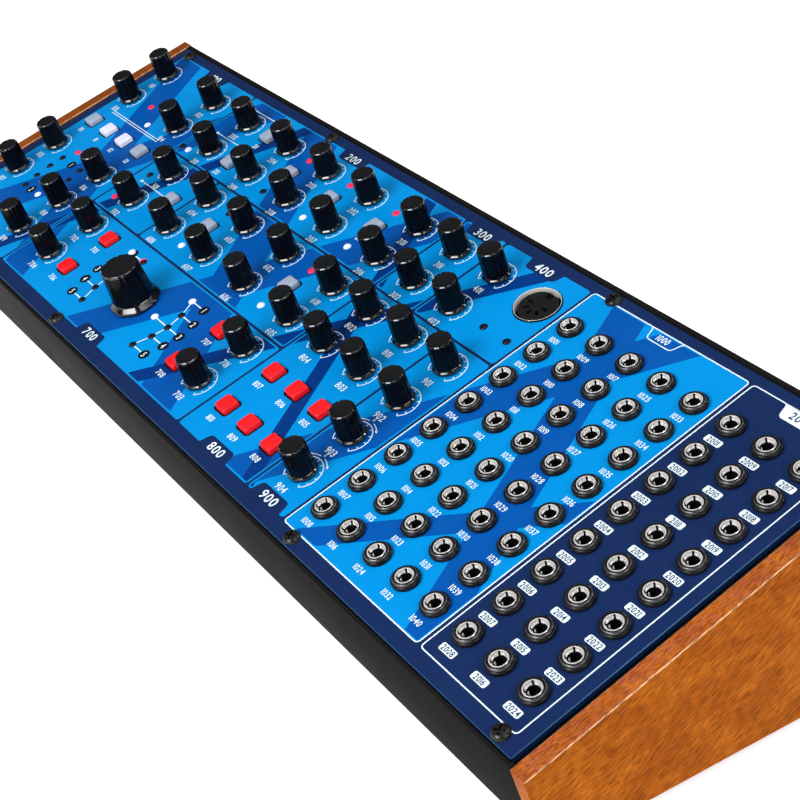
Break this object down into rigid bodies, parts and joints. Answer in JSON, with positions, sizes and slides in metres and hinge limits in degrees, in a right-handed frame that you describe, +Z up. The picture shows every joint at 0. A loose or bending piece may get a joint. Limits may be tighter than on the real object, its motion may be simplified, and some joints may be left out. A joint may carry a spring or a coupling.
{
  "type": "semi-modular synthesizer",
  "caption": "Desktop semi-modular synthesizer: sloped steel case with wooden cheeks, blue printed panel, turning knobs, lit push buttons and a field of patch sockets",
  "frame": {"origin": "middle of the bounding box on the surface that the instrument stands on", "axes": "+X to the right of a player, -Y towards the player, +Z up; lengths in metres"},
  "size_m": [0.3944, 0.1276, 0.0832],
  "materials": {
    "case_steel": "dark grey fine-textured powder coat",
    "printed_panel": "satin light-blue print with navy borders and white lines",
    "cheek_wood": "orange-brown stained wood, clear satin varnish",
    "board": "green circuit board",
    "socket_black": "black moulded plastic",
    "knob_black": "glossy black fluted plastic with a matte top",
    "lit_cap": "translucent cap lit red from inside"
  },
  "bodies": {
    "case": {"case_tray": "case_steel", "front_panel": "printed_panel", "left_cheek": "cheek_wood", "right_cheek": "cheek_wood", "control_board": "board", "midi_in_socket": "socket_black", "rear_socket_board": "socket_black"},
    "power_rocker_body": {"power_rocker": "knob_black"},
    "knob_r1_c2_body": {"knob_r1_c2": "knob_black"},
    "knob_r1_c3_body": {"knob_r1_c3": "knob_black"},
    "knob_r1_c4_body": {"knob_r1_c4": "knob_black"},
    "knob_r1_c5_body": {"knob_r1_c5": "knob_black"},
    "knob_r1_c6_body": {"knob_r1_c6": "knob_black"},
    "knob_r1_c7_body": {"knob_r1_c7": "knob_black"},
    "knob_r1_c8_body": {"knob_r1_c8": "knob_black"},
    "knob_r1_c9_body": {"knob_r1_c9": "knob_black"},
    "knob_r1_c10_body": {"knob_r1_c10": "knob_black"},
    "knob_r2_c2_body": {"knob_r2_c2": "knob_black"},
    "knob_r2_c3_body": {"knob_r2_c3": "knob_black"},
    "knob_r2_c4_body": {"knob_r2_c4": "knob_black"},
    "knob_r2_c5_body": {"knob_r2_c5": "knob_black"},
    "knob_r2_c6_body": {"knob_r2_c6": "knob_black"},
    "knob_r2_c7_body": {"knob_r2_c7": "knob_black"},
    "knob_r2_c8_body": {"knob_r2_c8": "knob_black"},
    "knob_r2_c9_body": {"knob_r2_c9": "knob_black"},
    "knob_r2_c10_body": {"knob_r2_c10": "knob_black"},
    "knob_r3_c1_body": {"knob_r3_c1": "knob_black"},
    "knob_r3_c2_body": {"knob_r3_c2": "knob_black"},
    "knob_r3_c3_body": {"knob_r3_c3": "knob_black"},
    "knob_r3_c4_body": {"knob_r3_c4": "knob_black"},
    "knob_r3_c5_body": {"knob_r3_c5": "knob_black"},
    "knob_r3_c6_body": {"knob_r3_c6": "knob_black"},
    "knob_r3_c7_body": {"knob_r3_c7": "knob_black"},
    "knob_r3_c8_body": {"knob_r3_c8": "knob_black"},
    "knob_r4_c1_body": {"knob_r4_c1": "knob_black"},
    "knob_r4_c2_body": {"knob_r4_c2": "knob_black"},
    "knob_r4_c3_body": {"knob_r4_c3": "knob_black"},
    "knob_r4_c4_body": {"knob_r4_c4": "knob_black"},
    "knob_r4_c5_body": {"knob_r4_c5": "knob_black"},
    "knob_r4_c6_body": {"knob_r4_c6": "knob_black"},
    "knob_r4_c7_body": {"knob_r4_c7": "knob_black"},
    "knob_r4_c8_body": {"knob_r4_c8": "knob_black"},
    "knob_r4_c9_body": {"knob_r4_c9": "knob_black"},
    "knob_r4_c10_body": {"knob_r4_c10": "knob_black"},
    "knob_r5_c1_body": {"knob_r5_c1": "knob_black"},
    "knob_r5_c4_body": {"knob_r5_c4": "knob_black"},
    "knob_r5_c8_body": {"knob_r5_c8": "knob_black"},
    "knob_r5_c9_body": {"knob_r5_c9": "knob_black"},
    "knob_r5_c10_body": {"knob_r5_c10": "knob_black"},
    "knob_r6_c1_body": {"knob_r6_c1": "knob_black"},
    "knob_r6_c4_body": {"knob_r6_c4": "knob_black"},
    "knob_r6_c8_body": {"knob_r6_c8": "knob_black"},
    "knob_r6_c9_body": {"knob_r6_c9": "knob_black"},
    "large_knob_body": {"large_knob": "knob_black"},
    "button_r5_3_body": {"button_r5_3": "lit_cap"},
    "button_r5_2_body": {"button_r5_2": "lit_cap"},
    "button_r5_1_body": {"button_r5_1": "lit_cap"},
    "button_r6_3_body": {"button_r6_3": "lit_cap"},
    "button_r6_2_body": {"button_r6_2": "lit_cap"},
    "button_r6_1_body": {"button_r6_1": "lit_cap"}
  },
  "joints": [
    {"name": "rock_power", "type": "hinge", "parent": "case", "child": "power_rocker_body", "pos_m": [0.14535, 0.06289, 0.041], "axis": [0, 0, 1], "range_deg": [0, 16]},
    {"name": "turn_r1_c2", "type": "hinge", "parent": "case", "child": "knob_r1_c2_body", "pos_m": [0.0461, 0.04429, 0.07099], "axis": [0, -0.342, 0.9397], "range_deg": [-150, 150]},
    {"name": "turn_r1_c3", "type": "hinge", "parent": "case", "child": "knob_r1_c3_body", "pos_m": [0.02505, 0.04429, 0.07099], "axis": [0, -0.342, 0.9397], "range_deg": [-150, 150]},
    {"name": "turn_r1_c4", "type": "hinge", "parent": "case", "child": "knob_r1_c4_body", "pos_m": [0.00395, 0.04429, 0.07099], "axis": [0, -0.342, 0.9397], "range_deg": [-150, 150]},
    {"name": "turn_r1_c5", "type": "hinge", "parent": "case", "child": "knob_r1_c5_body", "pos_m": [-0.02605, 0.04429, 0.07099], "axis": [0, -0.342, 0.9397], "range_deg": [-150, 150]},
    {"name": "turn_r1_c6", "type": "hinge", "parent": "case", "child": "knob_r1_c6_body", "pos_m": [-0.05335, 0.04429, 0.07099], "axis": [0, -0.342, 0.9397], "range_deg": [-150, 150]},
    {"name": "turn_r1_c7", "type": "hinge", "parent": "case", "child": "knob_r1_c7_body", "pos_m": [-0.08085, 0.04429, 0.07099], "axis": [0, -0.342, 0.9397], "range_deg": [-150, 150]},
    {"name": "turn_r1_c8", "type": "hinge", "parent": "case", "child": "knob_r1_c8_body", "pos_m": [-0.11015, 0.04429, 0.07099], "axis": [0, -0.342, 0.9397], "range_deg": [-150, 150]},
    {"name": "turn_r1_c9", "type": "hinge", "parent": "case", "child": "knob_r1_c9_body", "pos_m": [-0.13765, 0.04429, 0.07099], "axis": [0, -0.342, 0.9397], "range_deg": [-150, 150]},
    {"name": "turn_r1_c10", "type": "hinge", "parent": "case", "child": "knob_r1_c10_body", "pos_m": [-0.17825, 0.04429, 0.07099], "axis": [0, -0.342, 0.9397], "range_deg": [-150, 150]},
    {"name": "turn_r2_c2", "type": "hinge", "parent": "case", "child": "knob_r2_c2_body", "pos_m": [0.0461, 0.02705, 0.06472], "axis": [0, -0.342, 0.9397], "range_deg": [-150, 150]},
    {"name": "turn_r2_c3", "type": "hinge", "parent": "case", "child": "knob_r2_c3_body", "pos_m": [0.02505, 0.02705, 0.06472], "axis": [0, -0.342, 0.9397], "range_deg": [-150, 150]},
    {"name": "turn_r2_c4", "type": "hinge", "parent": "case", "child": "knob_r2_c4_body", "pos_m": [0.00395, 0.02705, 0.06472], "axis": [0, -0.342, 0.9397], "range_deg": [-150, 150]},
    {"name": "turn_r2_c5", "type": "hinge", "parent": "case", "child": "knob_r2_c5_body", "pos_m": [-0.02605, 0.02705, 0.06472], "axis": [0, -0.342, 0.9397], "range_deg": [-150, 150]},
    {"name": "turn_r2_c6", "type": "hinge", "parent": "case", "child": "knob_r2_c6_body", "pos_m": [-0.05335, 0.02705, 0.06472], "axis": [0, -0.342, 0.9397], "range_deg": [-150, 150]},
    {"name": "turn_r2_c7", "type": "hinge", "parent": "case", "child": "knob_r2_c7_body", "pos_m": [-0.08085, 0.02705, 0.06472], "axis": [0, -0.342, 0.9397], "range_deg": [-150, 150]},
    {"name": "turn_r2_c8", "type": "hinge", "parent": "case", "child": "knob_r2_c8_body", "pos_m": [-0.11015, 0.02705, 0.06472], "axis": [0, -0.342, 0.9397], "range_deg": [-150, 150]},
    {"name": "turn_r2_c9", "type": "hinge", "parent": "case", "child": "knob_r2_c9_body", "pos_m": [-0.13765, 0.02705, 0.06472], "axis": [0, -0.342, 0.9397], "range_deg": [-150, 150]},
    {"name": "turn_r2_c10", "type": "hinge", "parent": "case", "child": "knob_r2_c10_body", "pos_m": [-0.17825, 0.02705, 0.06472], "axis": [0, -0.342, 0.9397], "range_deg": [-150, 150]},
    {"name": "turn_r3_c1", "type": "hinge", "parent": "case", "child": "knob_r3_c1_body", "pos_m": [0.06725, 0.00981, 0.05844], "axis": [0, -0.342, 0.9397], "range_deg": [-150, 150]},
    {"name": "turn_r3_c2", "type": "hinge", "parent": "case", "child": "knob_r3_c2_body", "pos_m": [0.0461, 0.00981, 0.05844], "axis": [0, -0.342, 0.9397], "range_deg": [-150, 150]},
    {"name": "turn_r3_c3", "type": "hinge", "parent": "case", "child": "knob_r3_c3_body", "pos_m": [0.02505, 0.00981, 0.05844], "axis": [0, -0.342, 0.9397], "range_deg": [-150, 150]},
    {"name": "turn_r3_c4", "type": "hinge", "parent": "case", "child": "knob_r3_c4_body", "pos_m": [0.00395, 0.00981, 0.05844], "axis": [0, -0.342, 0.9397], "range_deg": [-150, 150]},
    {"name": "turn_r3_c5", "type": "hinge", "parent": "case", "child": "knob_r3_c5_body", "pos_m": [-0.02605, 0.00981, 0.05844], "axis": [0, -0.342, 0.9397], "range_deg": [-150, 150]},
    {"name": "turn_r3_c6", "type": "hinge", "parent": "case", "child": "knob_r3_c6_body", "pos_m": [-0.05335, 0.00981, 0.05844], "axis": [0, -0.342, 0.9397], "range_deg": [-150, 150]},
    {"name": "turn_r3_c7", "type": "hinge", "parent": "case", "child": "knob_r3_c7_body", "pos_m": [-0.08085, 0.00981, 0.05844], "axis": [0, -0.342, 0.9397], "range_deg": [-150, 150]},
    {"name": "turn_r3_c8", "type": "hinge", "parent": "case", "child": "knob_r3_c8_body", "pos_m": [-0.11015, 0.00981, 0.05844], "axis": [0, -0.342, 0.9397], "range_deg": [-150, 150]},
    {"name": "turn_r4_c1", "type": "hinge", "parent": "case", "child": "knob_r4_c1_body", "pos_m": [0.06725, -0.00744, 0.05216], "axis": [0, -0.342, 0.9397], "range_deg": [-150, 150]},
    {"name": "turn_r4_c2", "type": "hinge", "parent": "case", "child": "knob_r4_c2_body", "pos_m": [0.0461, -0.00744, 0.05216], "axis": [0, -0.342, 0.9397], "range_deg": [-150, 150]},
    {"name": "turn_r4_c3", "type": "hinge", "parent": "case", "child": "knob_r4_c3_body", "pos_m": [0.02505, -0.00744, 0.05216], "axis": [0, -0.342, 0.9397], "range_deg": [-150, 150]},
    {"name": "turn_r4_c4", "type": "hinge", "parent": "case", "child": "knob_r4_c4_body", "pos_m": [0.00395, -0.00744, 0.05216], "axis": [0, -0.342, 0.9397], "range_deg": [-150, 150]},
    {"name": "turn_r4_c5", "type": "hinge", "parent": "case", "child": "knob_r4_c5_body", "pos_m": [-0.02605, -0.00744, 0.05216], "axis": [0, -0.342, 0.9397], "range_deg": [-150, 150]},
    {"name": "turn_r4_c6", "type": "hinge", "parent": "case", "child": "knob_r4_c6_body", "pos_m": [-0.05335, -0.00744, 0.05216], "axis": [0, -0.342, 0.9397], "range_deg": [-150, 150]},
    {"name": "turn_r4_c7", "type": "hinge", "parent": "case", "child": "knob_r4_c7_body", "pos_m": [-0.08085, -0.00744, 0.05216], "axis": [0, -0.342, 0.9397], "range_deg": [-150, 150]},
    {"name": "turn_r4_c8", "type": "hinge", "parent": "case", "child": "knob_r4_c8_body", "pos_m": [-0.11015, -0.00744, 0.05216], "axis": [0, -0.342, 0.9397], "range_deg": [-150, 150]},
    {"name": "turn_r4_c9", "type": "hinge", "parent": "case", "child": "knob_r4_c9_body", "pos_m": [-0.13765, -0.00744, 0.05216], "axis": [0, -0.342, 0.9397], "range_deg": [-150, 150]},
    {"name": "turn_r4_c10", "type": "hinge", "parent": "case", "child": "knob_r4_c10_body", "pos_m": [-0.17825, -0.00744, 0.05216], "axis": [0, -0.342, 0.9397], "range_deg": [-150, 150]},
    {"name": "turn_r5_c1", "type": "hinge", "parent": "case", "child": "knob_r5_c1_body", "pos_m": [0.06725, -0.02468, 0.04589], "axis": [0, -0.342, 0.9397], "range_deg": [-150, 150]},
    {"name": "turn_r5_c4", "type": "hinge", "parent": "case", "child": "knob_r5_c4_body", "pos_m": [0.00395, -0.02468, 0.04589], "axis": [0, -0.342, 0.9397], "range_deg": [-150, 150]},
    {"name": "turn_r5_c8", "type": "hinge", "parent": "case", "child": "knob_r5_c8_body", "pos_m": [-0.11015, -0.02468, 0.04589], "axis": [0, -0.342, 0.9397], "range_deg": [-150, 150]},
    {"name": "turn_r5_c9", "type": "hinge", "parent": "case", "child": "knob_r5_c9_body", "pos_m": [-0.13765, -0.02468, 0.04589], "axis": [0, -0.342, 0.9397], "range_deg": [-150, 150]},
    {"name": "turn_r5_c10", "type": "hinge", "parent": "case", "child": "knob_r5_c10_body", "pos_m": [-0.17825, -0.02468, 0.04589], "axis": [0, -0.342, 0.9397], "range_deg": [-150, 150]},
    {"name": "turn_r6_c1", "type": "hinge", "parent": "case", "child": "knob_r6_c1_body", "pos_m": [0.06725, -0.04192, 0.03961], "axis": [0, -0.342, 0.9397], "range_deg": [-150, 150]},
    {"name": "turn_r6_c4", "type": "hinge", "parent": "case", "child": "knob_r6_c4_body", "pos_m": [0.00395, -0.04192, 0.03961], "axis": [0, -0.342, 0.9397], "range_deg": [-150, 150]},
    {"name": "turn_r6_c8", "type": "hinge", "parent": "case", "child": "knob_r6_c8_body", "pos_m": [-0.11015, -0.04192, 0.03961], "axis": [0, -0.342, 0.9397], "range_deg": [-150, 150]},
    {"name": "turn_r6_c9", "type": "hinge", "parent": "case", "child": "knob_r6_c9_body", "pos_m": [-0.13765, -0.04192, 0.03961], "axis": [0, -0.342, 0.9397], "range_deg": [-150, 150]},
    {"name": "turn_large_knob", "type": "hinge", "parent": "case", "child": "large_knob_body", "pos_m": [-0.05335, -0.03537, 0.042], "axis": [0, -0.342, 0.9397], "range_deg": [-150, 150]},
    {"name": "press_r5_3", "type": "slide", "parent": "case", "child": "button_r5_3_body", "axis": [0, 0.342, -0.9397], "range_m": [0, 0.0006], "stiffness_N_per_m": 1500, "springref_m": -0.0003},
    {"name": "press_r5_2", "type": "slide", "parent": "case", "child": "button_r5_2_body", "axis": [0, 0.342, -0.9397], "range_m": [0, 0.0006], "stiffness_N_per_m": 1500, "springref_m": -0.0003},
    {"name": "press_r5_1", "type": "slide", "parent": "case", "child": "button_r5_1_body", "axis": [0, 0.342, -0.9397], "range_m": [0, 0.0006], "stiffness_N_per_m": 1500, "springref_m": -0.0003},
    {"name": "press_r6_3", "type": "slide", "parent": "case", "child": "button_r6_3_body", "axis": [0, 0.342, -0.9397], "range_m": [0, 0.0006], "stiffness_N_per_m": 1500, "springref_m": -0.0003},
    {"name": "press_r6_2", "type": "slide", "parent": "case", "child": "button_r6_2_body", "axis": [0, 0.342, -0.9397], "range_m": [0, 0.0006], "stiffness_N_per_m": 1500, "springref_m": -0.0003},
    {"name": "press_r6_1", "type": "slide", "parent": "case", "child": "button_r6_1_body", "axis": [0, 0.342, -0.9397], "range_m": [0, 0.0006], "stiffness_N_per_m": 1500, "springref_m": -0.0003}
  ]
}
